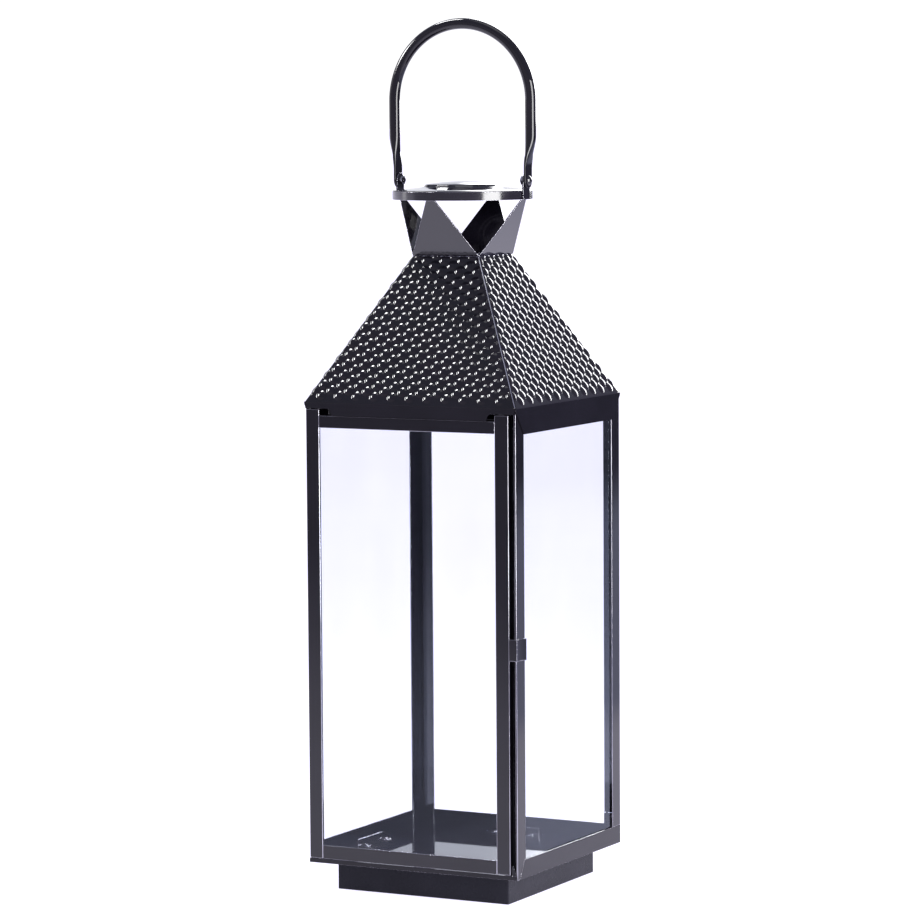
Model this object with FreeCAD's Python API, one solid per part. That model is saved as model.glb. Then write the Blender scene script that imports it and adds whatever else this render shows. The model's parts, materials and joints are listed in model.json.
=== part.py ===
import FreeCAD, Part
import math
import os

from FreeCAD import Vector

# Tall square glass lantern with a hinged door, an embossed pyramid roof and a bail handle.
# Millimetres, +Z up, origin under the middle of the base. The door is the front, facing -Y.

# ---- driving dimensions -------------------------------------------------------------------
SHEET = 0.8               # thickness of all folded sheet metal
GLASS = 2.0               # thickness of the glass panes
CLEAR = 0.1               # gap left between pieces that slip into each other

EAVE_HALF = 100.0         # half width across the eaves
BODY_HALF = 99.0          # half width across the corner posts
PLINTH_HALF = 81.5        # half width of the plinth under the body

PLINTH_H = 24.7           # height of the plinth, and underside of the tray
WALL_TOP = 40.3           # top of the tray's side walls
LIP_TOP = 28.3            # top of the tray's low front lip
SLANT_LOW = 5.0           # slanted front end of a side wall: distance behind the body's front, low down
SLANT_HIGH = 13.0         # the same at the wall's top
STEP_BACK = 8.0           # the hinge side's wall steps down this far behind the body's front
FRAME_Z = 412.0           # underside of the frame that carries the roof
EAVE_Z = 417.0            # edge of the roof
SIDE_FASCIA_Z = 395.0     # lower edge of the deep fascias on three sides
FRONT_FASCIA_Z = 406.2    # lower edge of the shallow fascia over the door
ROOF_TOP_Z = 538.5
ROOF_TOP_HALF = 31.6

POST_FLANGE = 15.0        # width of a corner post's flanges
STOP_Y = -90.0            # front face of the door stops
DOOR_STOP_W = 15.0        # width of the stop on the latch side
HINGE_STOP_W = 7.0        # width of the stop on the hinge side
HEADER_Z = 398.0          # lower edge of the strip behind the door's top

RING_Z = 585.8            # underside of the ring that the crown carries
RING_H = 7.0
RING_R = 59.6
RING_T = 0.9
CROWN_TIP_HALF = 4.2      # half width of a crown panel where it meets the ring
CROWN_TIP_Y = 58.4
LID_R = 59.4
LID_DOME_R = 31.5         # radius of the raised middle of the lid

PIVOT_Z = 601.7           # bail pivot height
BRACKET_X = 59.65         # inner face of a pivot bracket
BRACKET_T = 1.2
TAB_T = 2.1               # thickness of the bail's flattened ends
BAIL_R = 65.0             # radius of the bail's arch, to the middle of the tube
BAIL_TUBE_R = 4.6
ARCH_Z = 668.9            # where the straight legs turn into the arch
SCREW_R = 2.0

DOOR_FRONT = -98.7        # front plane of the door
DOOR_LEFT = -98.8
DOOR_RIGHT = 92.3
DOOR_BOTTOM = 28.6
DOOR_TOP = 411.0          # top of the door's stiles
RAIL_TOP = 405.8          # top of the door's upper rail, under the fascia
STILE_W = 12.5
TOP_RAIL_H = 10.2
LOW_RAIL_H = 11.6
DOOR_DEPTH = 8.0          # depth of the door's folded edges
HINGE_DEPTH = 5.0         # shorter fold on the hinge side, so that the door can turn
HINGE_X = -95.8
HINGE_Y = -96.7
PIN_R = 1.1

LATCH_Z0 = 208.0
LATCH_Z1 = 226.0
LATCH_T = 0.5
LATCH_RIVET_R = 1.1
LATCH_RIVET_Y = DOOR_FRONT + 4.0
LATCH_RIVET_Z = (213.8, 220.2)

CLIP_LEN = 44.0           # glass clips at the middle of each wall
CLIP_H = 6.0

# ---- derived dimensions -------------------------------------------------------------------
FLOOR_TOP = PLINTH_H + SHEET
PANE_OUT = BODY_HALF - 2 * SHEET          # outer face of the fixed panes
PANE_IN = PANE_OUT - GLASS
PANE_TOP = FRAME_Z - 0.5
ROOF_RISE = ROOF_TOP_Z - EAVE_Z
ROOF_RUN = EAVE_HALF - ROOF_TOP_HALF
ROOF_SKIN = SHEET * math.hypot(ROOF_RISE, ROOF_RUN) / ROOF_RISE   # sheet measured level
RING_TOP = RING_Z + RING_H
TAB_X = BRACKET_X + BRACKET_T + 0.25      # inner face of the bail's flattened end
HEAD_X = TAB_X + TAB_T + CLEAR            # seat of the pivot screw's head


def box(x0, y0, z0, x1, y1, z1):
    """Solid box between two corners."""
    return Part.makeBox(x1 - x0, y1 - y0, z1 - z0, Vector(x0, y0, z0))


def plate(points, thickness):
    """Flat plate on a polygon of 3-D points, as thick as the vector says."""
    wire = Part.makePolygon([Vector(*p) for p in points] + [Vector(*points[0])])
    return Part.Face(wire).extrude(Vector(*thickness))


def union(shapes):
    """All shapes fused into one solid, with flush faces merged."""
    whole = shapes[0].multiFuse(shapes[1:]).removeSplitter()
    return whole.Solids[0] if len(whole.Solids) == 1 else whole


def about_z(shape, quarter_turns):
    """The shape turned about the lantern's axis: front, right, back, left."""
    turned = shape.copy()
    turned.rotate(Vector(0, 0, 0), Vector(0, 0, 1), 90 * quarter_turns)
    return turned


def mirror_x(shape):
    """The shape on the other side, left for right."""
    return shape.mirror(Vector(0, 0, 0), Vector(1, 0, 0))


def square_wire(half, z):
    """Closed square around the axis."""
    corners = [(-half, -half), (half, -half), (half, half), (-half, half), (-half, -half)]
    return Part.makePolygon([Vector(x, y, z) for x, y in corners])


def save(name, shape):
    """Writes one node as a STEP file and prints its facts."""
    if not shape.isValid():
        raise RuntimeError(name + " is not a valid solid")
    shape.exportStep(os.path.join("parts", name + ".step"))
    print(name, len(shape.Solids), "solid(s)", round(shape.Volume, 1), "mm3")


# ---- base ---------------------------------------------------------------------------------
def base_plinth():
    """Hollow folded plinth with a turned-in rim at the bottom and a flange at the top."""
    rim = 8.0
    flange = 14.0
    corner_r = 1.2
    body = box(-PLINTH_HALF, -PLINTH_HALF, 0, PLINTH_HALF, PLINTH_HALF, PLINTH_H)
    upright = [e for e in body.Edges if abs(e.Vertexes[0].Z - e.Vertexes[1].Z) > 1]
    body = body.makeFillet(corner_r, upright)
    inner = PLINTH_HALF - SHEET
    body = body.cut(box(-inner, -inner, SHEET, inner, inner, PLINTH_H - SHEET))
    low = PLINTH_HALF - rim
    body = body.cut(box(-low, -low, -1, low, low, SHEET + 1))
    high = PLINTH_HALF - flange
    body = body.cut(box(-high, -high, PLINTH_H - SHEET - 1, high, high, PLINTH_H + 1))
    return body.Solids[0]


def side_wall(full_length):
    """Right wall of the tray; its front end is cut on the slant or steps down to the lip."""
    slant_low = -(BODY_HALF - SLANT_LOW)
    slant_high = -(BODY_HALF - SLANT_HIGH)
    step = -(BODY_HALF - STEP_BACK)
    x = BODY_HALF - SHEET
    if full_length:
        front = [(x, -BODY_HALF, PLINTH_H), (x, -BODY_HALF, LIP_TOP), (x, step, LIP_TOP)]
    else:
        front = [(x, slant_low, PLINTH_H)]
    rear = [(x, slant_high, WALL_TOP), (x, BODY_HALF, WALL_TOP), (x, BODY_HALF, PLINTH_H)]
    return plate(front + rear, (SHEET, 0, 0))


def base_tray():
    """Shallow pan: floor, three walls, a low front lip and a gusset beside the door."""
    edge = BODY_HALF - SHEET
    floor = box(-edge, -edge, PLINTH_H, edge, edge, FLOOR_TOP)
    back = box(-BODY_HALF, edge, PLINTH_H, BODY_HALF, BODY_HALF, WALL_TOP)
    lip = box(-BODY_HALF, -BODY_HALF, PLINTH_H, BODY_HALF, -edge, LIP_TOP)
    right = side_wall(False)
    left = mirror_x(side_wall(True))
    gusset_x = DOOR_RIGHT + 1.2
    gusset_top = LIP_TOP + 8.0
    gusset = plate([(gusset_x, -edge, PLINTH_H), (BODY_HALF - 1.0, -edge, PLINTH_H),
                    (BODY_HALF - 1.0, -edge, PLINTH_H + 2.0), (gusset_x + 1.6, -edge, gusset_top),
                    (gusset_x, -edge, gusset_top)], (0, SHEET / 2, 0))
    tray = union([floor, back, lip, right, left, gusset])
    hole = Part.makeCylinder(PIN_R + CLEAR / 2, 4, Vector(HINGE_X, HINGE_Y, PLINTH_H - 2))
    return tray.cut(hole).Solids[0]


def glass_clip(bottom, side):
    """Angle clip at the middle of one wall, holding the pane's edge; feet reach inwards."""
    foot_w = 6.0
    foot_len = 10.0
    foot_y = CLIP_LEN / 2 - foot_w / 2 - 1.0
    near = PANE_IN - SHEET
    seat = FLOOR_TOP if bottom else FRAME_Z
    turn = 1 if bottom else -1
    tip = seat + turn * CLIP_H
    skin = seat + turn * SHEET
    upstand = box(near, -CLIP_LEN / 2, min(seat, tip), PANE_IN, CLIP_LEN / 2, max(seat, tip))
    pieces = [upstand]
    for y in (-foot_y, foot_y):
        pieces.append(box(PANE_IN - foot_len, y - foot_w / 2, min(seat, skin),
                          PANE_IN, y + foot_w / 2, max(seat, skin)))
    return about_z(union(pieces), {"right": 0, "back": 1, "left": 2}[side])


def clip_rivets():
    """Small round-headed rivets through the feet of the bottom clips."""
    rivet_r = 1.5
    reach = PANE_IN - 6.5
    foot_y = CLIP_LEN / 2 - 4.0
    rivets = []
    for turn in (0, 1, 2):
        for y in (-foot_y, foot_y):
            head = Part.makeSphere(rivet_r, Vector(reach, y, FLOOR_TOP + SHEET))
            keep = box(reach - 3, y - 3, FLOOR_TOP + SHEET, reach + 3, y + 3, FLOOR_TOP + 4)
            rivets.append(about_z(head.common(keep).Solids[0], turn))
    return Part.makeCompound(rivets)


# ---- corner posts and fixed glass ---------------------------------------------------------
def back_post():
    """Back right corner post: an angle, joggled inside the tray's walls at its foot."""
    out = BODY_HALF
    mid = BODY_HALF - SHEET
    inner = BODY_HALF - 2 * SHEET
    low = BODY_HALF - POST_FLANGE
    lap = 10.0
    upper_x = box(mid, low, WALL_TOP, out, out, FRAME_Z)
    upper_y = box(low, mid, WALL_TOP, out, out, FRAME_Z)
    lower_x = box(inner, low, FLOOR_TOP, mid, mid, WALL_TOP + lap)
    lower_y = box(low, inner, FLOOR_TOP, mid, mid, WALL_TOP + lap)
    return union([upper_x, upper_y, lower_x, lower_y])


def front_right_post():
    """Latch side post: side flange beside the door, hemmed, with a set-back door stop."""
    out = BODY_HALF
    mid = BODY_HALF - SHEET
    front = -(mid - CLEAR)
    rear = -(out - POST_FLANGE - 1)
    gap = 0.25
    flange = plate([(mid, front, PLINTH_H), (mid, -(out - SLANT_LOW) - gap, PLINTH_H),
                    (mid, -(out - SLANT_HIGH) - gap, WALL_TOP), (mid, rear, WALL_TOP),
                    (mid, rear, FRAME_Z), (mid, front, FRAME_Z)],
                   (SHEET, 0, 0))
    hem = box(mid - SHEET, front, LIP_TOP + 0.3, mid, STOP_Y + SHEET, FRAME_Z)
    stop = box(mid - DOOR_STOP_W, STOP_Y, FLOOR_TOP, mid, STOP_Y + SHEET, FRAME_Z)
    return union([flange, hem, stop])


def front_left_post():
    """Hinge side post: it stands behind the door, so that the door's edge can turn."""
    out = BODY_HALF
    mid = BODY_HALF - SHEET
    rear = STOP_Y + POST_FLANGE
    gap = 0.2
    tab_depth = 6.0
    tab_top = WALL_TOP + 10.0
    slant_y = -(out - SLANT_HIGH)
    rise = (WALL_TOP - LIP_TOP) / (SLANT_HIGH - STEP_BACK)
    foot_z = WALL_TOP - (slant_y - gap - STOP_Y) * rise
    flange = plate([(-out, STOP_Y, foot_z), (-out, slant_y - gap, WALL_TOP),
                    (-out, rear, WALL_TOP), (-out, rear, FRAME_Z), (-out, STOP_Y, FRAME_Z)],
                   (SHEET, 0, 0))
    stop = box(-mid, STOP_Y, FLOOR_TOP, -mid + HINGE_STOP_W, STOP_Y + SHEET, FRAME_Z)
    tab = box(-mid, STOP_Y, FLOOR_TOP, -mid + SHEET, STOP_Y + tab_depth, tab_top)
    return union([flange, stop, tab])


def door_header():
    """Angle strip under the roof frame that closes the gap behind the door's top."""
    flange = 8.0
    left = -(BODY_HALF - SHEET) + HINGE_STOP_W + CLEAR
    right = BODY_HALF - SHEET - DOOR_STOP_W - CLEAR
    web = box(left, STOP_Y, HEADER_Z, right, STOP_Y + SHEET, FRAME_Z)
    top = box(left, STOP_Y, FRAME_Z - SHEET, right, STOP_Y + flange, FRAME_Z)
    return union([web, top])


def side_pane():
    """Right-hand pane, from the door stop to the back pane."""
    return box(PANE_IN, STOP_Y + SHEET + 0.6, FLOOR_TOP + CLEAR,
               PANE_OUT, PANE_IN - 0.2, PANE_TOP)


def back_pane():
    """Pane across the back."""
    half = PANE_OUT - 0.2
    return box(-half, PANE_IN, FLOOR_TOP + CLEAR, half, PANE_OUT, PANE_TOP)


# ---- roof ---------------------------------------------------------------------------------
def roof_half(z):
    """Half width of the roof's outside at a height."""
    return EAVE_HALF - (z - EAVE_Z) * ROOF_RUN / ROOF_RISE


def roof_frame():
    """Square frame on top of the posts, with an upturned rim inside the fascias."""
    out = EAVE_HALF - SHEET - CLEAR
    inner = 80.0
    rim_top = EAVE_Z - 1.0
    frame = box(-out, -out, FRAME_Z, out, out, rim_top)
    well = out - SHEET
    frame = frame.cut(box(-well, -well, FRAME_Z + SHEET, well, well, rim_top + 1))
    frame = frame.cut(box(-inner, -inner, FRAME_Z - 1, inner, inner, FRAME_Z + 2))
    hole = Part.makeCylinder(PIN_R + CLEAR / 2, 6, Vector(HINGE_X, HINGE_Y, FRAME_Z - 2))
    return frame.cut(hole).Solids[0]


def roof_slope():
    """Sloping sheet of the front roof panel, mitred along both hips."""
    rings = []
    for half, z in ((EAVE_HALF, EAVE_Z), (ROOF_TOP_HALF, ROOF_TOP_Z)):
        inner = half - ROOF_SKIN
        corners = [(-half, -half), (half, -half), (inner, -inner), (-inner, -inner), (-half, -half)]
        rings.append(Part.makePolygon([Vector(x, y, z) for x, y in corners]))
    return Part.makeLoft(rings, True, True)


def deep_fascia():
    """Fascia under the eave on the sides and back, with slanted ends."""
    y = -EAVE_HALF
    end = EAVE_HALF - SHEET - 0.05
    low = EAVE_HALF - 16.0
    return plate([(-end, y, EAVE_Z), (end, y, EAVE_Z), (low, y, SIDE_FASCIA_Z),
                  (-low, y, SIDE_FASCIA_Z)], (0, SHEET, 0))


def front_fascia():
    """Shallow fascia over the door, cut away at both ends for the door's stiles."""
    y = -EAVE_HALF
    end = EAVE_HALF - SHEET - 0.05
    notch_z = FRAME_Z + 0.2
    notch_x = 78.0
    foot_x = 73.0
    belly = Vector(notch_x - 1.6, y, FRONT_FASCIA_Z + 2.2)
    right_arc = Part.Arc(Vector(foot_x, y, FRONT_FASCIA_Z), belly, Vector(notch_x, y, notch_z))
    belly_left = Vector(-belly.x, y, belly.z)
    left_arc = Part.Arc(Vector(-notch_x, y, notch_z), belly_left, Vector(-foot_x, y, FRONT_FASCIA_Z))
    upper = Part.makePolygon([Vector(notch_x, y, notch_z), Vector(end - 2, y, notch_z),
                              Vector(end, y, EAVE_Z), Vector(-end, y, EAVE_Z),
                              Vector(-end + 2, y, notch_z), Vector(-notch_x, y, notch_z)])
    lower = Part.makeLine(Vector(-foot_x, y, FRONT_FASCIA_Z), Vector(foot_x, y, FRONT_FASCIA_Z))
    edges = [right_arc.toShape()] + upper.Edges + [left_arc.toShape(), lower]
    return Part.Face(Part.Wire(edges)).extrude(Vector(0, SHEET, 0))


def roof_panel(fascia):
    """One of the four roof panels with its fascia folded down."""
    return union([roof_slope(), fascia])


def roof_top_plate():
    """Square plate that ties the roof's upper edges together around the flue hole."""
    top = ROOF_TOP_Z - 1.1
    half = roof_half(top) - ROOF_SKIN
    flue_r = 22.0
    body = box(-half, -half, top - SHEET, half, half, top)
    return body.cut(Part.makeCylinder(flue_r, 4, Vector(0, 0, top - 2))).Solids[0]


# ---- crown, ring and lid ------------------------------------------------------------------
def crown_panel():
    """Front crown panel: flares out from the roof's top edge and narrows up to the ring."""
    rise = RING_Z - ROOF_TOP_Z
    run = CROWN_TIP_Y - ROOF_TOP_HALF
    length = math.hypot(rise, run)
    inward = (0, SHEET * rise / length, SHEET * run / length)
    leaf = plate([(-ROOF_TOP_HALF, -ROOF_TOP_HALF, ROOF_TOP_Z),
                  (ROOF_TOP_HALF, -ROOF_TOP_HALF, ROOF_TOP_Z),
                  (CROWN_TIP_HALF, -CROWN_TIP_Y, RING_Z),
                  (-CROWN_TIP_HALF, -CROWN_TIP_Y, RING_Z)], inward)
    far = RING_R * 2
    wedge = plate([(0, 0, ROOF_TOP_Z), (far, -far, ROOF_TOP_Z), (-far, -far, ROOF_TOP_Z)],
                  (0, 0, rise))
    leaf = leaf.common(wedge).Solids[0]
    tab_h = 5.0
    tab = box(-CROWN_TIP_HALF, -CROWN_TIP_Y, RING_Z - 0.4,
              CROWN_TIP_HALF, -CROWN_TIP_Y + SHEET, RING_Z + tab_h)
    return union([leaf, tab])


def crown_ring():
    """Flat band around the tips of the crown."""
    outer = Part.makeCylinder(RING_R, RING_H, Vector(0, 0, RING_Z))
    inner = Part.makeCylinder(RING_R - RING_T, RING_H + 2, Vector(0, 0, RING_Z - 1))
    return outer.cut(inner).Solids[0]


def lid_dome(radius, top_z):
    """Height at a radius of the shallow spherical dome in the middle of the lid."""
    dome_h = 2.6
    ball_r = (LID_DOME_R ** 2 + dome_h ** 2) / (2 * dome_h)
    return top_z - ball_r + math.sqrt(ball_r ** 2 - radius ** 2)


def crown_lid():
    """Spun lid: a low slope, a short riser and a shallow dome, turned about the axis."""
    slope_r = LID_DOME_R + 1.0
    slope_z = 596.2
    top_z = 601.0
    rim_z = RING_TOP + SHEET
    inner_r = LID_DOME_R - SHEET

    def point(radius, z):
        return Vector(radius, 0, z)

    def dome(radius, z):
        middle = point(radius / 2, lid_dome(radius / 2, z))
        return Part.Arc(point(0, z), middle, point(radius, lid_dome(radius, z))).toShape()

    under = top_z - SHEET
    skirt = Part.makePolygon([point(LID_DOME_R, lid_dome(LID_DOME_R, top_z)), point(slope_r, slope_z),
                              point(LID_R, rim_z), point(LID_R, RING_TOP),
                              point(slope_r - SHEET, slope_z - SHEET),
                              point(inner_r, lid_dome(inner_r, under))])
    axis = Part.makeLine(point(0, under), point(0, top_z))
    wire = Part.Wire(Part.__sortEdges__([dome(LID_DOME_R, top_z), dome(inner_r, under), axis] + skirt.Edges))
    return Part.Face(wire).revolve(Vector(0, 0, 0), Vector(0, 0, 1), 360)


# ---- bail handle --------------------------------------------------------------------------
def along_x(radius, x0, x1, z=PIVOT_Z):
    """Cylinder along X at the pivot height."""
    return Part.makeCylinder(radius, x1 - x0, Vector(x0, 0, z), Vector(1, 0, 0))


def handle_bracket():
    """Right bracket: a strap on the ring's outside that rises to the bail's pivot."""
    half = 6.0
    strap = box(BRACKET_X, -half, RING_Z, BRACKET_X + BRACKET_T, half, PIVOT_Z)
    round_top = along_x(half, BRACKET_X, BRACKET_X + BRACKET_T)
    return union([strap, round_top]).cut(along_x(SCREW_R, 0, 80)).Solids[0]


def handle_screw():
    """Right pivot screw: domed head outside, shank through tab, bracket and nut."""
    head_r = 4.3
    head_h = 2.4
    ball_r = (head_r ** 2 + head_h ** 2) / (2 * head_h)
    ball = Part.makeSphere(ball_r, Vector(HEAD_X + head_h - ball_r, 0, PIVOT_Z))
    head = ball.common(box(HEAD_X, -10, PIVOT_Z - 10, HEAD_X + head_h, 10, PIVOT_Z + 10))
    shank = along_x(SCREW_R, BRACKET_X - 4.0, HEAD_X)
    return union([head, shank])


def handle_nut():
    """Right hexagon nut on the inside of the bracket."""
    flats = 7.0
    height = 3.0
    radius = flats / math.sqrt(3)
    points = []
    for step in range(6):
        angle = math.radians(60 * step)
        points.append((BRACKET_X - height, radius * math.cos(angle), PIVOT_Z + radius * math.sin(angle)))
    return plate(points, (height, 0, 0)).cut(along_x(SCREW_R, 0, 80)).Solids[0]


def bail_leg():
    """Right leg: flat pivot tab, a flattened stretch and the straight tube."""
    tab_half = 6.5
    tab_top = 612.0
    tube_low = 640.0
    mid_x = TAB_X + TAB_T / 2
    tab = box(TAB_X, -tab_half, PIVOT_Z, TAB_X + TAB_T, tab_half, tab_top)
    eye = along_x(tab_half, TAB_X, TAB_X + TAB_T)
    flat = Part.Ellipse(Vector(mid_x, tab_half, tab_top - 2), Vector(mid_x + TAB_T / 2, 0, tab_top - 2),
                        Vector(mid_x, 0, tab_top - 2))
    round_end = Part.Circle(Vector(BAIL_R, 0, tube_low), Vector(0, 0, 1), BAIL_TUBE_R)
    blend = Part.makeLoft([Part.Wire(flat.toShape()), Part.Wire(round_end.toShape())], True)
    tube = Part.makeCylinder(BAIL_TUBE_R, ARCH_Z - tube_low, Vector(BAIL_R, 0, tube_low))
    hole = along_x(SCREW_R + CLEAR / 2, 0, 90)
    return union([tab, eye, blend, tube]).cut(hole)


def bail_handle():
    """Steel tube bent into an arch, with both ends flattened into pivot tabs."""
    arch = Part.makeTorus(BAIL_R, BAIL_TUBE_R, Vector(0, 0, ARCH_Z), Vector(0, 1, 0))
    reach = BAIL_R + BAIL_TUBE_R + 1
    upper = box(-reach, -10, ARCH_Z, reach, 10, ARCH_Z + reach)
    right = bail_leg()
    return union([arch.common(upper), right, mirror_x(right)])


# ---- door ---------------------------------------------------------------------------------
def door_stile_left():
    """Hinge stile: face, shallow fold, and end tabs that carry the pivot pins."""
    x0 = DOOR_LEFT
    y0 = DOOR_FRONT
    face = box(x0, y0, DOOR_BOTTOM, x0 + STILE_W, y0 + SHEET, DOOR_TOP)
    fold = box(x0, y0, DOOR_BOTTOM, x0 + SHEET, y0 + HINGE_DEPTH, DOOR_TOP)
    tab_w = 7.0
    low = box(x0, y0, DOOR_BOTTOM, x0 + tab_w, y0 + HINGE_DEPTH, DOOR_BOTTOM + SHEET)
    high = box(x0, y0, DOOR_TOP - SHEET, x0 + tab_w, y0 + HINGE_DEPTH, DOOR_TOP)
    stile = union([face, fold, low, high])
    fold_edge = [e for e in stile.Edges
                 if e.BoundBox.ZLength > 300 and abs(e.CenterOfMass.x - x0) < 0.01
                 and abs(e.CenterOfMass.y - y0) < 0.01]
    stile = stile.makeFillet(0.7, fold_edge)
    bore = Part.makeCylinder(PIN_R, DOOR_TOP, Vector(HINGE_X, HINGE_Y, 0))
    return stile.cut(bore).Solids[0]


def latch_rivet_hole(z):
    """Cutter for a latch rivet's hole through the door's edge and the clip."""
    return Part.makeCylinder(LATCH_RIVET_R, 6, Vector(DOOR_RIGHT - 3, LATCH_RIVET_Y, z), Vector(1, 0, 0))


def door_stile_right():
    """Latch stile: face, full-depth fold and closed ends."""
    x1 = DOOR_RIGHT
    y0 = DOOR_FRONT
    face = box(x1 - STILE_W, y0, DOOR_BOTTOM, x1, y0 + SHEET, DOOR_TOP)
    fold = box(x1 - SHEET, y0, DOOR_BOTTOM, x1, y0 + DOOR_DEPTH, DOOR_TOP)
    tab_w = 7.0
    low = box(x1 - tab_w, y0, DOOR_BOTTOM, x1, y0 + DOOR_DEPTH, DOOR_BOTTOM + SHEET)
    high = box(x1 - tab_w, y0, DOOR_TOP - SHEET, x1, y0 + DOOR_DEPTH, DOOR_TOP)
    stile = union([face, fold, low, high])
    for z in LATCH_RIVET_Z:
        stile = stile.cut(latch_rivet_hole(z))
    return stile.Solids[0]


def door_rail(top):
    """Rail between the stiles, folded back along its outer edge."""
    x0 = DOOR_LEFT + STILE_W
    x1 = DOOR_RIGHT - STILE_W
    y0 = DOOR_FRONT
    z0 = RAIL_TOP - TOP_RAIL_H if top else DOOR_BOTTOM
    z1 = RAIL_TOP if top else DOOR_BOTTOM + LOW_RAIL_H
    face = box(x0, y0, z0, x1, y0 + SHEET, z1)
    fold_z = z1 - SHEET if top else z0
    fold = box(x0, y0, fold_z, x1, y0 + DOOR_DEPTH, fold_z + SHEET)
    return union([face, fold])


def door_glass():
    """Pane behind the door's face."""
    y0 = DOOR_FRONT + SHEET
    left = HINGE_X + PIN_R + 0.5
    return box(left, y0, DOOR_BOTTOM + SHEET + 0.4, DOOR_RIGHT - 1.6, y0 + GLASS, RAIL_TOP - SHEET - 0.4)


def door_glass_tabs():
    """Six small angle tabs that press the pane against the door's face."""
    y0 = DOOR_FRONT + SHEET + GLASS
    thin = 0.6
    reach = 8.5
    half = 4.0
    tabs = []
    for z in (90.0, 180.0, 330.0):
        right = DOOR_RIGHT - SHEET
        tabs.append(union([box(right - reach, y0, z - half, right, y0 + thin, z + half),
                           box(right - thin, y0, z - half, right, y0 + 3.2, z + half)]))
        left = DOOR_LEFT + SHEET
        tabs.append(union([box(left, y0, z - half, left + reach, y0 + thin, z + half),
                           box(left, y0, z - half, left + thin, y0 + 1.6, z + half)]))
    return Part.makeCompound(tabs)


def door_pivot_pins():
    """Lower and upper pins that the door turns on."""
    low = Part.makeCylinder(PIN_R, 11.0, Vector(HINGE_X, HINGE_Y, PLINTH_H + 0.1))
    high = Part.makeCylinder(PIN_R, 10.5, Vector(HINGE_X, HINGE_Y, FRAME_Z - 7.5))
    return Part.makeCompound([low, high])


# ---- latch --------------------------------------------------------------------------------
def latch_strap():
    """Root of the spring clip, riveted flat to the door's edge."""
    strap = box(DOOR_RIGHT, DOOR_FRONT + 0.4, LATCH_Z0, DOOR_RIGHT + LATCH_T,
                DOOR_FRONT + DOOR_DEPTH - 0.4, LATCH_Z1)
    for z in LATCH_RIVET_Z:
        strap = strap.cut(latch_rivet_hole(z))
    return strap.Solids[0]


def latch_leaf():
    """Free end of the spring clip: across the post's edge, along its side, and a turned-out lip."""
    post = BODY_HALF + 0.3
    out = post + LATCH_T
    front = DOOR_FRONT - 0.5
    bend_y = -92.0
    lip_y = -86.6
    lip_out = 2.6
    outline = [(DOOR_RIGHT, front), (out, front), (out, bend_y), (out + lip_out, lip_y),
               (post + lip_out, lip_y + 0.2), (post, bend_y + 0.3), (post, front + LATCH_T),
               (DOOR_RIGHT, front + LATCH_T)]
    return plate([(x, y, LATCH_Z0) for x, y in outline], (0, 0, LATCH_Z1 - LATCH_Z0))


def latch_rivets():
    """Two rivets through the clip and the door's edge."""
    head_r = 2.0
    head_h = 1.0
    ball_r = (head_r ** 2 + head_h ** 2) / (2 * head_h)
    x_out = DOOR_RIGHT + LATCH_T
    rivets = []
    y = LATCH_RIVET_Y
    for z in LATCH_RIVET_Z:
        ball = Part.makeSphere(ball_r, Vector(x_out + head_h - ball_r, y, z))
        head = ball.common(box(x_out, y - 5, z - 5, x_out + head_h, y + 5, z + 5))
        shank = Part.makeCylinder(LATCH_RIVET_R, LATCH_T + SHEET + 0.3,
                                  Vector(DOOR_RIGHT - SHEET - 0.3, y, z), Vector(1, 0, 0))
        tail = Part.makeCylinder(1.7, 0.4, Vector(DOOR_RIGHT - SHEET - 0.4, y, z), Vector(1, 0, 0))
        rivets.append(union([head, shank, tail]))
    return Part.makeCompound(rivets)


def main():
    """Builds every node."""
    os.makedirs("parts", exist_ok=True)
    save("base_plinth", base_plinth())
    save("base_tray", base_tray())
    for side in ("left", "right", "back"):
        save("bottom_clip_" + side, glass_clip(True, side))
        save("top_clip_" + side, glass_clip(False, side))
    save("clip_rivets", clip_rivets())
    save("front_left_post", front_left_post())
    save("front_right_post", front_right_post())
    save("door_header", door_header())
    save("back_right_post", back_post())
    save("back_left_post", mirror_x(back_post()))
    save("glass_right", side_pane())
    save("glass_left", mirror_x(side_pane()))
    save("glass_back", back_pane())
    save("roof_frame", roof_frame())
    save("roof_panel_front", roof_panel(front_fascia()))
    for turns, side in ((1, "right"), (2, "back"), (3, "left")):
        save("roof_panel_" + side, about_z(roof_panel(deep_fascia()), turns))
    save("roof_top_plate", roof_top_plate())
    for turns, side in ((0, "front"), (1, "right"), (2, "back"), (3, "left")):
        save("crown_panel_" + side, about_z(crown_panel(), turns))
    save("crown_ring", crown_ring())
    save("crown_lid", crown_lid())
    save("handle_bracket_right", handle_bracket())
    save("handle_bracket_left", mirror_x(handle_bracket()))
    save("handle_screws", Part.makeCompound([handle_screw(), mirror_x(handle_screw())]))
    save("handle_nuts", Part.makeCompound([handle_nut(), mirror_x(handle_nut())]))
    save("bail_handle", bail_handle())
    save("door_stile_left", door_stile_left())
    save("door_stile_right", door_stile_right())
    save("door_rail_top", door_rail(True))
    save("door_rail_bottom", door_rail(False))
    save("door_glass", door_glass())
    save("door_glass_tabs", door_glass_tabs())
    save("door_pivot_pins", door_pivot_pins())
    save("latch_strap", latch_strap())
    save("latch_leaf", latch_leaf())
    save("latch_rivets", latch_rivets())


main()
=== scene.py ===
import json
import math

import bpy
from mathutils import Matrix, Vector

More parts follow.
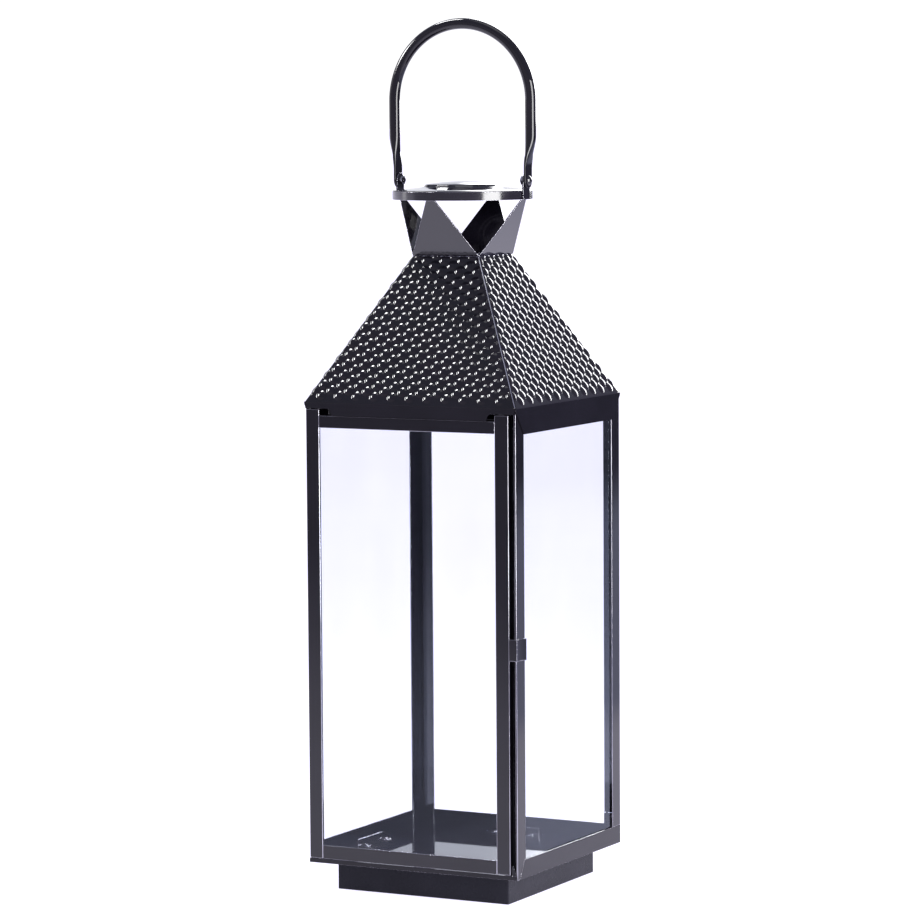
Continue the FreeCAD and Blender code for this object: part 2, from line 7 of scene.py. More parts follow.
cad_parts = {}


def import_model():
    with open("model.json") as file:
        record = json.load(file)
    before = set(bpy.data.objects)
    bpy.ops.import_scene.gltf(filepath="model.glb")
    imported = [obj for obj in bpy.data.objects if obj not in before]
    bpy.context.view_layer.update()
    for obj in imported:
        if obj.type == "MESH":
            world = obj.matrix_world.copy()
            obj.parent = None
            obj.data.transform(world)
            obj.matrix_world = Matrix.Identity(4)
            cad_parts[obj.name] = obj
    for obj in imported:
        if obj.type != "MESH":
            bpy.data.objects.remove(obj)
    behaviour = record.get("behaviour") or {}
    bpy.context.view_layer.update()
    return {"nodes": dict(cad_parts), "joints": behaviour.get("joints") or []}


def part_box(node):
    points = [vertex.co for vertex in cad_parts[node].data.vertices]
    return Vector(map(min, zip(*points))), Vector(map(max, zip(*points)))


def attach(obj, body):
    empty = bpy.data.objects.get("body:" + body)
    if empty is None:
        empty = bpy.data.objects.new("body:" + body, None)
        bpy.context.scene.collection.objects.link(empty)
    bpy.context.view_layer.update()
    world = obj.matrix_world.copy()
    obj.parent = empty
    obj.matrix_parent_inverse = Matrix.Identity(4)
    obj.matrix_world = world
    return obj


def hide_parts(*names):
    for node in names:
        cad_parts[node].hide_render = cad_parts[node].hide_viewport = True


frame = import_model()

# Looks of a tall black sheet-metal candle lantern. Metres, +Z up, the door faces -Y.
NODES = frame["nodes"]
MM = 0.001

# ---- driving dimensions -------------------------------------------------------------------
SHEET = 0.8 * MM                                  # thickness of the folded sheet metal
EAVE_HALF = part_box("roof_panel_front")[1].x       # half width of the roof at the eaves
EAVE_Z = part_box("roof_frame")[1].z + 1.0 * MM     # height of the eaves' fold
ROOF_TOP_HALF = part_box("crown_panel_front")[1].x  # half width of the roof's flat top
ROOF_TOP_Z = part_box("roof_panel_front")[1].z

DOME_COLUMN = 8.46 * MM     # embossed domes: distance between columns
DOME_ROW = 4.95 * MM        # distance between the staggered rows, up the slope
DOME_FIRST = 6.8 * MM       # first row's distance from the eaves
DOME_R = 4.87 * MM          # radius of a dome with its fillet
DOME_CAP_R = 8.0 * MM       # radius of the ball that forms the dome's cap
DOME_STEEPEST = math.radians(33)    # slope where the cap turns into the fillet
HIGHLIGHT_STRIP = 0.4 * MM             # width of the strip along the roof's hips and top fold that carries the painted highlight metal
HIP_R = 2.5 * MM            # radius of the bend along each hip
EAVE_R = 1.5 * MM           # radius of the bend along the eaves

RIPPLE_STRENGTH = 0.05      # faint waviness of all coated and bare metal
RIPPLE_HEIGHT = 0.05 * MM

CAMERA_AZIMUTH = math.radians(27.73)   # camera stands this far towards +X from the front
CAMERA_PITCH = math.radians(5.118)
CAMERA_ROLL = math.radians(-0.382)
CAMERA_DISTANCE = 3.521     # level distance from the point that it circles
CAMERA_HEIGHT = 0.6787
CAMERA_CENTRE = Vector((-3.25 * MM, -1.71 * MM, 0))   # point on the floor that it circles
CAMERA_LENS = 162.08


# ---- node helpers -------------------------------------------------------------------------
def new_material(name):
    """Empty node material with an output; returns the material, its nodes and its links."""
    material = bpy.data.materials.new(name)
    material.use_nodes = True
    tree = material.node_tree
    tree.nodes.clear()
    return material, tree.nodes, tree.links


def add(nodes, kind, **values):
    """New shader node with its input sockets set by name; spaces are written as underscores."""
    node = nodes.new(kind)
    for key, value in values.items():
        node.inputs[key.replace("_", " ")].default_value = value
    return node


def noise(nodes, links, scale, detail, stretch=(1, 1, 1)):
    """Noise texture fixed to the object, stretched along its axes."""
    place = nodes.new("ShaderNodeTexCoord")
    mapping = nodes.new("ShaderNodeMapping")
    mapping.inputs["Scale"].default_value = stretch
    links.new(place.outputs["Object"], mapping.inputs["Vector"])
    texture = add(nodes, "ShaderNodeTexNoise", Scale=scale, Detail=detail, Roughness=0.55)
    links.new(mapping.outputs["Vector"], texture.inputs["Vector"])
    return texture.outputs["Fac"]


def spread(nodes, links, source, low, high, from_low=0.3, from_high=0.7):
    """Maps a noise value to a range of numbers."""
    node = nodes.new("ShaderNodeMapRange")
    node.inputs["From Min"].default_value = from_low
    node.inputs["From Max"].default_value = from_high
    node.inputs["To Min"].default_value = low
    node.inputs["To Max"].default_value = high
    links.new(source, node.inputs["Value"])
    return node.outputs["Result"]


def tint(nodes, links, source, dark, light):
    """Blends two colours by a noise value."""
    ramp = nodes.new("ShaderNodeValToRGB")
    ramp.color_ramp.elements[0].position = 0.3
    ramp.color_ramp.elements[1].position = 0.7
    ramp.color_ramp.elements[0].color = (*dark, 1)
    ramp.color_ramp.elements[1].color = (*light, 1)
    links.new(source, ramp.inputs["Fac"])
    return ramp.outputs["Color"]


def bumped(nodes, links, source, strength, distance):
    """Normal tilted by a height value."""
    bump = add(nodes, "ShaderNodeBump", Strength=strength, Distance=distance)
    links.new(source, bump.inputs["Height"])
    return bump.outputs["Normal"]


def metal(name, dark, light, rough, ior, metallic=0.0, brush=(1, 1, 1)):
    """Coated or bare metal: cloudy colour, handled roughness and a faint ripple."""
    material, nodes, links = new_material(name)
    shader = nodes.new("ShaderNodeBsdfPrincipled")
    shader.inputs["Metallic"].default_value = metallic
    shader.inputs["IOR"].default_value = ior
    cloud = noise(nodes, links, 28, 4)
    links.new(tint(nodes, links, cloud, dark, light), shader.inputs["Base Color"])
    smudge = noise(nodes, links, 90, 6, brush)
    links.new(spread(nodes, links, smudge, rough[0], rough[1]), shader.inputs["Roughness"])
    ripple = noise(nodes, links, 260, 2, brush)
    links.new(bumped(nodes, links, ripple, RIPPLE_STRENGTH, RIPPLE_HEIGHT), shader.inputs["Normal"])
    out = nodes.new("ShaderNodeOutputMaterial")
    links.new(shader.outputs["BSDF"], out.inputs["Surface"])
    return material


def glass():
    """Clear pane: see-through, mirror-like towards grazing angles, with faint smears."""
    material, nodes, links = new_material("clear_glass")
    clear = nodes.new("ShaderNodeBsdfTransparent")
    smear = noise(nodes, links, 14, 5, (1, 1, 0.4))
    tinted = tint(nodes, links, smear, (0.955, 0.962, 0.975), (0.975, 0.982, 0.992))
    links.new(tinted, clear.inputs["Color"])
    shine = add(nodes, "ShaderNodeBsdfGlossy", Color=(0.80, 0.87, 1.0, 1))
    links.new(spread(nodes, links, smear, 0.01, 0.035), shine.inputs["Roughness"])
    fresnel = add(nodes, "ShaderNodeFresnel", IOR=1.40)
    side = nodes.new("ShaderNodeNewGeometry")
    outer = nodes.new("ShaderNodeMath")
    outer.operation = "SUBTRACT"
    outer.use_clamp = True
    links.new(fresnel.outputs["Fac"], outer.inputs[0])
    links.new(side.outputs["Backfacing"], outer.inputs[1])
    mix = nodes.new("ShaderNodeMixShader")
    links.new(outer.outputs["Value"], mix.inputs["Fac"])
    links.new(clear.outputs["BSDF"], mix.inputs[1])
    links.new(shine.outputs["BSDF"], mix.inputs[2])
    out = nodes.new("ShaderNodeOutputMaterial")
    links.new(mix.outputs["Shader"], out.inputs["Surface"])
    return material


LACQUER = ((0.0042, 0.0035, 0.0062), (0.0066, 0.0056, 0.0096))   # darkest and lightest colour
BLACK = metal("black_gloss", *LACQUER, (0.02, 0.05), 1.5)
BASE = metal("base_gloss", *LACQUER, (0.02, 0.05), 1.36)
SATIN = metal("base_satin", (0.013, 0.013, 0.018), (0.019, 0.019, 0.026), (0.22, 0.34), 1.2)
POLISHED = metal("black_nickel", (0.006, 0.005, 0.009), (0.009, 0.008, 0.013), (0.03, 0.06), 1.65)
BRUSHED = metal("brushed_ring", (0.007, 0.006, 0.010), (0.012, 0.010, 0.016), (0.12, 0.20), 1.75,
                brush=(1, 1, 9))
# Light metal for rounded edges and the roof's folds: painted highlight lines where black bends catch the
# lamps.
EDGE_HIGHLIGHT = metal("worn_edge", (0.50, 0.49, 0.54), (0.72, 0.71, 0.76), (0.10, 0.20), 1.5, metallic=1.0)
STEEL = metal("plated_steel", (0.42, 0.42, 0.44), (0.58, 0.58, 0.61), (0.08, 0.2), 1.5, metallic=1.0)
GLASS = glass()


# ---- CAD nodes that keep their shape ------------------------------------------------------
WIDE_ROUNDING = 0.3 * MM    # from here on the rounding keeps its width next to small holes
# Beginnings of node names, finish, rounding of the edges, material of the edges: a light metal
# that paints highlight lines along them. The first row that fits a node's name counts.
FINISHES = (
    (("door_glass_tabs", "top_clip"), POLISHED, 0.12 * MM, EDGE_HIGHLIGHT),
    (("glass_", "door_glass"), GLASS, 0, EDGE_HIGHLIGHT),
    (("clip_rivets", "handle_nuts", "latch_rivets"), STEEL, 0.12 * MM, STEEL),
    (("bottom_clip",), POLISHED, 0.38 * MM, EDGE_HIGHLIGHT),
    (("crown_ring",), BRUSHED, 0.12 * MM, EDGE_HIGHLIGHT),
    (("crown_panel",), POLISHED, 0.08 * MM, EDGE_HIGHLIGHT),
    (("crown_", "handle_"), POLISHED, 0.12 * MM, EDGE_HIGHLIGHT),
    (("latch_",), BLACK, 0.2 * MM, EDGE_HIGHLIGHT),
    (("base_plinth",), SATIN, 0.22 * MM, EDGE_HIGHLIGHT),
    (("base_",), BASE, 0.22 * MM, EDGE_HIGHLIGHT),
    (("door_stile",), BLACK, 0.36 * MM, EDGE_HIGHLIGHT),
    (("front_",), BLACK, 0.32 * MM, EDGE_HIGHLIGHT),
    (("",), BLACK, 0.22 * MM, EDGE_HIGHLIGHT),
)


def dress(piece, material, round_by, edge):
    """Finish of a CAD node: its material, and rounded edges in a light metal that paints a highlight line
    along each edge.
    """
    piece.data.materials.clear()
    piece.data.materials.append(material)
    if round_by <= 0:
        return
    piece.data.materials.append(edge)
    weld = piece.modifiers.new("weld", "WELD")
    weld.merge_threshold = 0.002 * MM
    flat = piece.modifiers.new("flat", "DECIMATE")
    flat.decimate_type = "DISSOLVE"
    flat.angle_limit = math.radians(0.4)
    bevel = piece.modifiers.new("bevel", "BEVEL")
    bevel.width = round_by
    bevel.segments = 2
    bevel.limit_method = "ANGLE"
    bevel.use_clamp_overlap = round_by < WIDE_ROUNDING
    bevel.angle_limit = math.radians(35)
    bevel.material = 1
    shade = piece.modifiers.new("shade", "WEIGHTED_NORMAL")
    shade.keep_sharp = False
    shade.weight = 100


def dress_all():
    """Finishes of every CAD node."""
    for name, piece in NODES.items():
        look = next(row[1:] for row in FINISHES if name.startswith(row[0]))
        dress(piece, *look)


# ---- meshes -------------------------------------------------------------------------------
def mesh_object(name, points, faces, material):
    """Smooth-shaded mesh object from points and faces."""
    mesh = bpy.data.meshes.new(name)
    mesh.from_pydata(points, [], faces)
    mesh.validate()
    mesh.polygons.foreach_set("use_smooth", [True] * len(mesh.polygons))
    mesh.materials.append(material)
    piece = bpy.data.objects.new(name, mesh)
    bpy.context.scene.collection.objects.link(piece)
    return piece


def fold_sheet(piece, thickness):
    """Gives a surface the thickness of its sheet, with sharp cut edges."""
    solid = piece.modifiers.new("sheet", "SOLIDIFY")
    solid.thickness = thickness
    solid.offset = -1
    split = piece.modifiers.new("sharp", "EDGE_SPLIT")
    split.split_angle = math.radians(55)


def smooth(x):
    """Soft step from 0 to 1."""
    x = min(max(x, 0.0), 1.0)
    return x * x * (3 - 2 * x)


# ---- roof ---------------------------------------------------------------------------------
SLOPE_RUN = EAVE_HALF - ROOF_TOP_HALF
SLOPE_RISE = ROOF_TOP_Z - EAVE_Z
SLOPE_LENGTH = math.hypot(SLOPE_RUN, SLOPE_RISE)
SLOPE_IN = SLOPE_RUN / SLOPE_LENGTH
SLOPE_UP = SLOPE_RISE / SLOPE_LENGTH
HIP_ACROSS = 1 / math.hypot(1, SLOPE_IN)          # distance to the hip per distance across
HIP_HALF_TURN = math.acos(SLOPE_IN * SLOPE_IN) / 2


def dome_height(radius):
    """Height of an embossed dome: ball cap, then a fillet that runs out into the sheet."""
    cap_edge = DOME_CAP_R * math.sin(DOME_STEEPEST)
    fillet_r = (DOME_R - cap_edge) / math.sin(DOME_STEEPEST)
    fillet_h = fillet_r * (1 - math.cos(DOME_STEEPEST))
    if radius >= DOME_R:
        return 0.0
    if radius > cap_edge:
        return fillet_r - math.sqrt(fillet_r ** 2 - (DOME_R - radius) ** 2)
    top = math.sqrt(DOME_CAP_R ** 2 - radius ** 2) - DOME_CAP_R * math.cos(DOME_STEEPEST)
    return fillet_h + top


def dome_at(across, up):
    """Height of the dome pattern at a place on the slope."""
    row = round((up - DOME_FIRST) / DOME_ROW)
    column = round(across / DOME_COLUMN)
    best = 0.0
    for r in range(row - 1, row + 2):
        for c in range(column - 1, column + 2):
            if r < 0 or (r + c) % 2:
                continue
            gap = math.hypot(across - c * DOME_COLUMN, up - DOME_FIRST - r * DOME_ROW)
            best = max(best, dome_height(gap))
    return best


def slope_half(up):
    """Half width of the slope, between sharp hips."""
    return EAVE_HALF - up * SLOPE_IN


def slope_point(across, up):
    """Point of the front slope, with its domes and its rounded hips."""
    to_hip = (slope_half(up) - abs(across)) * HIP_ACROSS
    tangent = HIP_R * math.tan(HIP_HALF_TURN)
    drop = 0.0
    if to_hip < tangent:
        drop = HIP_R - math.sqrt(max(HIP_R ** 2 - (tangent - to_hip) ** 2, 0))
    fade = smooth((to_hip - 0.8 * MM) / (2.0 * MM)) * smooth((SLOPE_LENGTH - up) / (1.4 * MM))
    lift = dome_at(across, up) * fade - drop
    return (across, -EAVE_HALF + up * SLOPE_IN - lift * SLOPE_UP, EAVE_Z + up * SLOPE_UP + lift * SLOPE_IN)


def slope_row(up):
    """One row of the slope's grid, as (across, point) pairs."""
    hip_gap = HIP_R * (math.tan(HIP_HALF_TURN) - math.sin(HIP_HALF_TURN)) / HIP_ACROSS
    half = slope_half(up) - hip_gap
    step = DOME_COLUMN / 12
    count = int((half - 0.3 * step) / step)
    count = min(count, int((half - 1.5 * HIGHLIGHT_STRIP) / step))
    places = [-half, HIGHLIGHT_STRIP - half] + [step * k for k in range(-count, count + 1)] + [half - HIGHLIGHT_STRIP, half]
    return [(x, slope_point(x, up)) for x in places]


def flat_row(half, y, z, step=6 * MM):
    """One row of the fascia's grid."""
    count = max(2, math.ceil(2 * half / step))
    places = [-half + 2 * half * k / count for k in range(count + 1)]
    return [(x, (x, y, z)) for x in places]


def deep_fascia_rows(half):
    """Rows of the deep fascia with its slanted ends, from the bottom up."""
    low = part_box("roof_panel_back")[0].z
    low_half = EAVE_HALF - 16 * MM
    rows = []
    for share in (0, 0.02, 0.5, 0.97):
        z = low + (EAVE_Z - EAVE_R - low) * share
        rows.append(flat_row(low_half + (half - low_half) * share, -EAVE_HALF, z))
    return rows


def front_fascia_rows(half):
    """Rows of the shallow front fascia, from the bottom up, with a curved notch at both ends."""
    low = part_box("roof_panel_front")[0].z
    notch_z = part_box("roof_frame")[0].z + 0.2 * MM
    foot, shoulder = 73 * MM, 78 * MM    # half widths at the notch's foot and at its top
    rows = []
    for k in range(7):
        turn = math.radians(90) * k / 6
        z = low + (notch_z - low) * math.sin(turn)
        rows.append(flat_row(shoulder - (shoulder - foot) * math.cos(turn), -EAVE_HALF, z))
    rows.append(flat_row(half - 1.6 * MM, -EAVE_HALF, notch_z))
    rows.append(flat_row(half, -EAVE_HALF, EAVE_Z - EAVE_R))
    return rows


def stitch(lower, upper, start_lower, start_upper):
    """Triangles between two rows of points, each ordered from left to right."""
    faces = []
    i = j = 0
    while i < len(lower) - 1 or j < len(upper) - 1:
        step_lower = j == len(upper) - 1
        if not step_lower and i < len(lower) - 1:
            step_lower = lower[i + 1][0] < upper[j + 1][0]
        if step_lower:
            faces.append((start_lower + i, start_lower + i + 1, start_upper + j))
            i += 1
        else:
            faces.append((start_lower + i, start_upper + j + 1, start_upper + j))
            j += 1
    return faces


def roof_rows(deep):
    """All rows of one roof panel, from the fascia's lower edge to the roof's top."""
    lean = math.asin(SLOPE_IN)
    tangent = EAVE_R * math.tan(lean / 2)
    first_half = slope_row(tangent)[-1][0]
    fascia = deep_fascia_rows(first_half) if deep else front_fascia_rows(first_half)
    rows = fascia
    for k in range(4):
        turn = lean * k / 3
        y = -EAVE_HALF + EAVE_R * (1 - math.cos(turn))
        z = EAVE_Z - tangent + EAVE_R * math.sin(turn)
        rows.append(flat_row(first_half, y, z))
    step = DOME_ROW / 7
    up = DOME_FIRST - step * int((DOME_FIRST - tangent) / step - 0.3)
    while up < SLOPE_LENGTH - 2 * HIGHLIGHT_STRIP:
        rows.append(slope_row(up))
        up += step
    rows.append(slope_row(SLOPE_LENGTH - HIGHLIGHT_STRIP))
    rows.append(slope_row(SLOPE_LENGTH))
    return rows


def roof_panel(name, turns, deep):
    """Embossed roof panel with its fascia, turned into place."""
    points, faces, starts, margins = [], [], [], []
    rows = roof_rows(deep)
    for row in rows:
        starts.append(len(points))
        points += [p for _, p in row]
        margins += [row[-1][0] - abs(across) for across, _ in row]
    for k in range(len(rows) - 1):
        faces += stitch(rows[k], rows[k + 1], starts[k], starts[k + 1])
    turn = Matrix.Rotation(math.radians(90) * turns, 3, "Z")
    points = [turn @ Vector(p) for p in points]
    piece = mesh_object(name + "_embossed", points, faces, BLACK)
    piece.data.materials.append(EDGE_HIGHLIGHT)
    # Faces along the hips and the top fold get the light edge metal: a painted highlight line.
    for face in piece.data.polygons:
        at_hip = max(margins[v] for v in face.vertices) < 1.1 * HIGHLIGHT_STRIP
        if at_hip or min(face.vertices) >= starts[-2]:
            face.material_index = 1
    fold_sheet(piece, SHEET)
    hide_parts(name)
    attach(piece, "lantern_body")


# ---- lid ----------------------------------------------------------------------------------
LID_DOME_R = 31.5 * MM      # radius of the dome's edge
LID_RISER_R = 32.5 * MM     # foot of the short riser around the dome
LID_RISER_Z = 596.2 * MM
LID_DOME_H = 2.6 * MM
LID_SAG = 0.25 * MM         # how far the slope hangs below a straight line
LID_SKIN = 0.5 * MM


def crown_lid():
    """Spun lid: rolled rim, low slope, short riser and shallow dome."""
    low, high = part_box("crown_lid")
    rim_r = high.x
    riser_top = high.z - LID_DOME_H
    ball_r = (LID_DOME_R ** 2 + LID_DOME_H ** 2) / (2 * LID_DOME_H)
    profile = []
    for inwards, up in ((0.7, 0), (0.1, 0.15), (0, 0.4), (0.1, 0.65), (0.7, 0.85)):
        profile.append((rim_r - inwards * MM, low.z + up * MM))
    slope_z = low.z + SHEET
    for share in (0.35, 0.7, 0.93):
        sag = LID_SAG * math.sin(math.pi * share)
        radius = rim_r + (LID_RISER_R - rim_r) * share
        profile.append((radius, slope_z + (LID_RISER_Z - slope_z) * share - sag))
    for outwards, up in ((0.5, 0.1), (0.05, 0.5)):
        profile.append((LID_RISER_R + outwards * MM, LID_RISER_Z + up * MM))
    for outwards, down in ((0.35, 0.5), (-0.2, 0.05)):
        profile.append((LID_DOME_R + outwards * MM, riser_top - down * MM))
    for share in (0.93, 0.8, 0.6, 0.4, 0.2, 0.05):
        radius = LID_DOME_R * share
        profile.append((radius, high.z - ball_r + math.sqrt(ball_r ** 2 - radius ** 2)))
    piece = lathe("crown_lid_spun", profile, 128, POLISHED)
    fold_sheet(piece, LID_SKIN)
    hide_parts("crown_lid")
    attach(piece, "lantern_body")


def lathe(name, profile, sides, material):
    """Surface turned about Z from (radius, height) pairs; its inner end closes at a point."""
    points = []
    faces = []
    for radius, z in profile:
        for k in range(sides):
            turn = 2 * math.pi * k / sides
            points.append((radius * math.cos(turn), radius * math.sin(turn), z))
    for ring in range(len(profile) - 1):
        for k in range(sides):
            a = ring * sides + k
            b = ring * sides + (k + 1) % sides
            faces.append((a, b, b + sides, a + sides))
    tip = len(points)
    points.append((0, 0, profile[-1][1]))
    last = (len(profile) - 1) * sides
    for k in range(sides):
        faces.append((last + k, last + (k + 1) % sides, tip))
    return mesh_object(name, points, faces, material)


# ---- bail handle --------------------------------------------------------------------------
TUBE_R = 4.6 * MM           # the bail's tube
TAB_MID = 62.15 * MM        # middle of a flattened end, from the lantern's axis
TAB_HALF = 1.05 * MM        # half its thickness
TAB_RISE = 9 * MM           # flat up to here above the pivot
SWAGE_RISE = 38 * MM        # round again from here on
TAB_POWER = 5.0             # squareness of the flattened section; 2 is round


def bail_section(centre, across, depth, half_a, half_b, power, sides=40):
    """Ring of points around the bail: a rounded oblong of the given half sizes."""
    ring = []
    for k in range(sides):
        turn = 2 * math.pi * k / sides
        c, s = math.cos(turn), math.sin(turn)
        a = half_a * math.copysign(abs(c) ** (2 / power), c)
        b = half_b * math.copysign(abs(s) ** (2 / power), s)
        ring.append(centre + across * a + depth * b)
    return ring


def bail_handle():
    """Bent steel tube, swaged flat at both ends around the pivot screws."""
    low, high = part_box("bail_handle")
    pivot_z = next(j for j in frame["joints"] if j["child"] == "handle")["pos_m"][2]
    eye_r = pivot_z - low.z
    arch_r = high.x - TUBE_R
    arch_z = high.z - high.x
    tab_top, tube_low = pivot_z + TAB_RISE, pivot_z + SWAGE_RISE
    depth = Vector((0, 1, 0))
    leg = []
    for k in range(13):
        turn = math.radians(-86 + 86 * k / 12)
        z = pivot_z + eye_r * math.sin(turn)
        leg.append((TAB_MID, z, TAB_HALF, eye_r * math.cos(turn), TAB_POWER))
    for k in range(1, 25):
        z = pivot_z + (tube_low - pivot_z) * k / 24
        share = smooth((z - tab_top) / (tube_low - tab_top))
        x = TAB_MID + (arch_r - TAB_MID) * share
        half_a = TAB_HALF + (TUBE_R - TAB_HALF) * share
        half_b = eye_r + (TUBE_R - eye_r) * share
        leg.append((x, z, half_a, half_b, TAB_POWER - 3.0 * smooth(2.2 * share)))
    rings = []
    for x, z, half_a, half_b, power in leg:
        rings.append(bail_section(Vector((x, 0, z)), Vector((1, 0, 0)), depth, half_a, half_b, power))
    for k in range(61):
        turn = math.pi * k / 60
        out = Vector((math.cos(turn), 0, math.sin(turn)))
        centre = Vector((0, 0, arch_z)) + out * arch_r
        rings.append(bail_section(centre, out, depth, TUBE_R, TUBE_R, 2.0))
    for x, z, half_a, half_b, power in reversed(leg):
        rings.append(bail_section(Vector((-x, 0, z)), Vector((-1, 0, 0)), depth, half_a, half_b, power))
    sides = len(rings[0])
    points = [p for ring in rings for p in ring]
    faces = []
    for r in range(len(rings) - 1):
        for k in range(sides):
            a = r * sides + k
            b = r * sides + (k + 1) % sides
            faces.append((a, a + sides, b + sides, b))
    faces.append(tuple(range(sides)))
    last = (len(rings) - 1) * sides
    faces.append(tuple(last + k for k in reversed(range(sides))))
    piece = mesh_object("bail_tube", points, faces, BLACK)
    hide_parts("bail_handle")
    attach(piece, "handle")


# ---- stage --------------------------------------------------------------------------------
BEHIND = Vector((-math.sin(CAMERA_AZIMUTH), math.cos(CAMERA_AZIMUTH), 0))   # away from the camera
RIGHT = Vector((math.cos(CAMERA_AZIMUTH), math.sin(CAMERA_AZIMUTH), 0))
BACKDROP_RISE = math.radians(20)
BACKDROP = BEHIND * math.cos(BACKDROP_RISE) + Vector((0, 0, math.sin(BACKDROP_RISE)))

FLOOR_HALF = 60
FLOOR_TINT = (1.0, 0.97, 1.15, 1)
FLOOR_TINT_RIGHT = (0.56, 0.58, 0.78, 1)
FLOOR_LOSS_RIGHT = 0.86     # share of the floor's light that is missing far to the right
FAN_BACK = 3.6              # the cool sector spreads from this far in front of the lantern


def floor():
    """Large pale floor, lit softly from within: white behind, cool and ending early to the right."""
    half = FLOOR_HALF
    corners = [(-half, -half, 0), (half, -half, 0), (half, half, 0), (-half, half, 0)]
    material, nodes, links = new_material("pale_floor")
    place = nodes.new("ShaderNodeTexCoord")

    def along(direction):
        """Distance along a direction, from the object."""
        dot = nodes.new("ShaderNodeVectorMath")
        dot.operation = "DOT_PRODUCT"
        dot.inputs[1].default_value = direction
        links.new(place.outputs["Object"], dot.inputs[0])
        return dot.outputs["Value"]

    def step(source, low, high, start, end):
        """Soft change from one value to another."""
        node = nodes.new("ShaderNodeMapRange")
        node.interpolation_type = "SMOOTHSTEP"
        node.inputs["From Min"].default_value = low
        node.inputs["From Max"].default_value = high
        node.inputs["To Min"].default_value = start
        node.inputs["To Max"].default_value = end
        links.new(source, node.inputs["Value"])
        return node.outputs["Result"]

    def combine(kind, first, second):
        """Two values joined by a sum, a product or a quotient."""
        node = nodes.new("ShaderNodeMath")
        node.operation = kind
        for socket, value in zip(node.inputs, (first, second)):
            if isinstance(value, (int, float)):
                socket.default_value = value
            else:
                links.new(value, socket)
        return node.outputs["Value"]

    ahead, side = along(BEHIND), along(RIGHT)
    glow = step(ahead, -1.6, -0.1, 0.15, 0.95)
    far_right = step(side, 2.3, 3.3, 0, 1)
    off_axis = step(combine("DIVIDE", side, combine("ADD", ahead, FAN_BACK)), 0.16, 0.28, 0, 1)
    loss = combine("MULTIPLY", combine("MULTIPLY", far_right, off_axis), FLOOR_LOSS_RIGHT)
    keep = combine("SUBTRACT", 1.0, loss)
    cool = nodes.new("ShaderNodeMix")
    cool.data_type = "RGBA"
    links.new(step(combine("MULTIPLY", side, off_axis), 0.0, 0.6, 0, 1), cool.inputs["Factor"])
    cool.inputs["A"].default_value = FLOOR_TINT
    cool.inputs["B"].default_value = FLOOR_TINT_RIGHT
    grain = noise(nodes, links, 3, 3)
    pale = tint(nodes, links, grain, (0.28, 0.28, 0.28), (0.30, 0.30, 0.30))
    toned = nodes.new("ShaderNodeVectorMath")
    toned.operation = "MULTIPLY"
    links.new(pale, toned.inputs[0])
    links.new(cool.outputs["Result"], toned.inputs[1])
    dim = nodes.new("ShaderNodeVectorMath")
    dim.operation = "SCALE"
    links.new(toned.outputs["Vector"], dim.inputs[0])
    links.new(keep, dim.inputs["Scale"])
    shader = nodes.new("ShaderNodeBsdfPrincipled")
    shader.inputs["Roughness"].default_value = 0.7
    shader.inputs["Specular IOR Level"].default_value = 0.0
    links.new(dim.outputs["Vector"], shader.inputs["Base Color"])
    links.new(cool.outputs["Result"], shader.inputs["Emission Color"])
    links.new(combine("MULTIPLY", glow, keep), shader.inputs["Emission Strength"])
    out = nodes.new("ShaderNodeOutputMaterial")
    links.new(shader.outputs["BSDF"], out.inputs["Surface"])
    piece = mesh_object("floor", corners, [(0, 1, 2, 3)], material)


DIM_SKY = (0.34, 0.32, 0.38)
SKY_PATCHES = (   # direction, cosine of the angle where it starts and where it is full, colour
    ((0.6, 0.8, 0), -0.1, 0.9, (0.27, 0.26, 0.36)),
    ((-0.46, -0.53, 0.71), 0.2, 0.8, (0.46, 0.44, 0.53)),
    (tuple(BACKDROP), 0.80, 0.93, (1.08, 1.08, 1.10)),
    (tuple(BACKDROP), 0.955, 0.985, (1.18, 1.20, 1.32)),
    ((0, 0, 1), 0.30, 0.35, (0.30, 0.31, 0.40)),
    ((-0.10, 0.956, 0.276), 0.93, 0.945, (10.0, 10.0, 10.2)),
)


def world():
    """Soft surroundings: white behind the lantern, cool to the right, dim overhead."""
    studio = bpy.data.worlds.new("studio")
    bpy.context.scene.world = studio
    studio.use_nodes = True
    nodes, links = studio.node_tree.nodes, studio.node_tree.links
    nodes.clear()
    place = nodes.new("ShaderNodeTexCoord")

    def towards(direction, low, high):
        """Grows from 0 to 1 as the view turns towards a direction."""
        dot = nodes.new("ShaderNodeVectorMath")
        dot.operation = "DOT_PRODUCT"
        dot.inputs[1].default_value = direction
        links.new(place.outputs["Generated"], dot.inputs[0])
        ramp = nodes.new("ShaderNodeMapRange")
        ramp.interpolation_type = "SMOOTHSTEP"
        ramp.inputs["From Min"].default_value = low
        ramp.inputs["From Max"].default_value = high
        links.new(dot.outputs["Value"], ramp.inputs["Value"])
        return ramp.outputs["Result"]

    def mix(fac, below, above):
        """Blends two colours or sockets."""
        node = nodes.new("ShaderNodeMix")
        node.data_type = "RGBA"
        links.new(fac, node.inputs["Factor"])
        for socket, value in ((node.inputs["A"], below), (node.inputs["B"], above)):
            if isinstance(value, tuple):
                socket.default_value = (*value, 1)
            else:
                links.new(value, socket)
        return node.outputs["Result"]

    sky = DIM_SKY
    for direction, low, high, colour in SKY_PATCHES:
        sky = mix(towards(direction, low, high), sky, colour)
    background = nodes.new("ShaderNodeBackground")
    links.new(sky, background.inputs["Color"])
    out = nodes.new("ShaderNodeOutputWorld")
    links.new(background.outputs["Background"], out.inputs["Surface"])


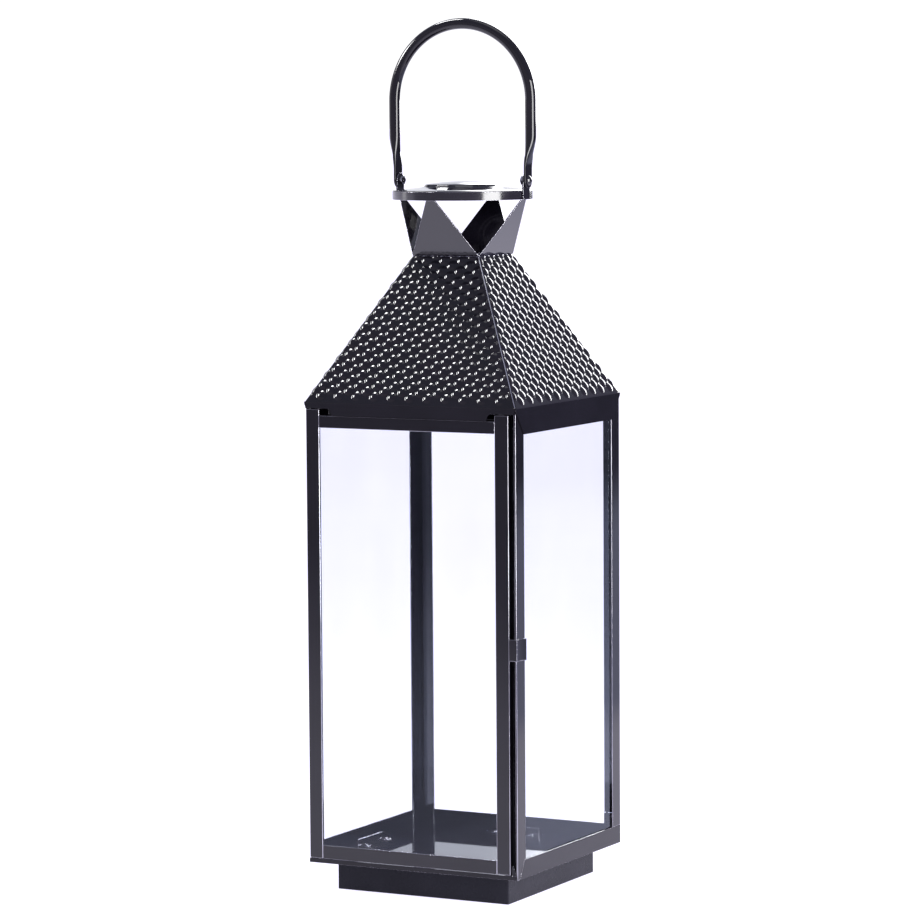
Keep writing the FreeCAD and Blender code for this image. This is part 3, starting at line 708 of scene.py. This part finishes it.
def softbox(name, place, target, width, height, radiance, roll=0.0):
    """Rectangular soft light that faces a target, rolled about its own axis."""
    light = bpy.data.lights.new(name, "AREA")
    light.shape = "RECTANGLE"
    light.size = width
    light.size_y = height
    light.energy = radiance * math.pi * width * height
    lamp = bpy.data.objects.new(name, light)
    bpy.context.scene.collection.objects.link(lamp)
    turn = (Vector(target) - Vector(place)).to_track_quat("-Z", "Y").to_matrix()
    lamp.matrix_world = Matrix.Translation(place) @ (turn @ Matrix.Rotation(roll, 3, "Z")).to_4x4()


MIDDLE = (0, 0, 0.5)
ROOF = (0, -0.08, 0.46)     # where the roof's front mirrors the lamps from


def lights():
    """Key lamp and dim strip on the left, soft box on the right, bank above and behind."""
    softbox("left_key", (-1.37, -0.49, 1.17), ROOF, 0.29, 0.46, radiance=36, roll=math.radians(48))
    softbox("left_strip", (-1.55, -0.22, 0.98), MIDDLE, 0.30, 1.1, radiance=1.5)
    softbox("right_box", (1.45, -0.36, 0.62), MIDDLE, 0.80, 1.15, radiance=12)
    softbox("top_bank", (-0.80, 0.19, 1.82), ROOF, 0.22, 0.50, radiance=34)
    softbox("overhead", (0.1, -0.1, 2.4), (0, 0, 0.3), 1.0, 1.0, radiance=1)


def camera():
    """Camera at eye level in front of the near corner, looking slightly down."""
    up = Vector((0, 0, 1))
    place = CAMERA_CENTRE - BEHIND * CAMERA_DISTANCE + up * CAMERA_HEIGHT
    look = BEHIND * math.cos(CAMERA_PITCH) - up * math.sin(CAMERA_PITCH)
    top = up * math.cos(CAMERA_PITCH) + BEHIND * math.sin(CAMERA_PITCH)
    rolled_right = RIGHT * math.cos(CAMERA_ROLL) + top * math.sin(CAMERA_ROLL)
    rolled_top = top * math.cos(CAMERA_ROLL) - RIGHT * math.sin(CAMERA_ROLL)
    data = bpy.data.cameras.new("camera")
    data.lens = CAMERA_LENS
    data.sensor_width = 36
    data.clip_end = 200
    eye = bpy.data.objects.new("camera", data)
    bpy.context.scene.collection.objects.link(eye)
    turn = Matrix((rolled_right, rolled_top, -look)).transposed().to_4x4()
    eye.matrix_world = Matrix.Translation(place) @ turn
    bpy.context.scene.camera = eye


# ---- build --------------------------------------------------------------------------------
dress_all()
roof_panel("roof_panel_front", 0, False)
roof_panel("roof_panel_right", 1, True)
roof_panel("roof_panel_back", 2, True)
roof_panel("roof_panel_left", 3, True)
crown_lid()
bail_handle()
floor()
world()
lights()
camera()
bpy.context.scene.view_settings.view_transform = "Standard"
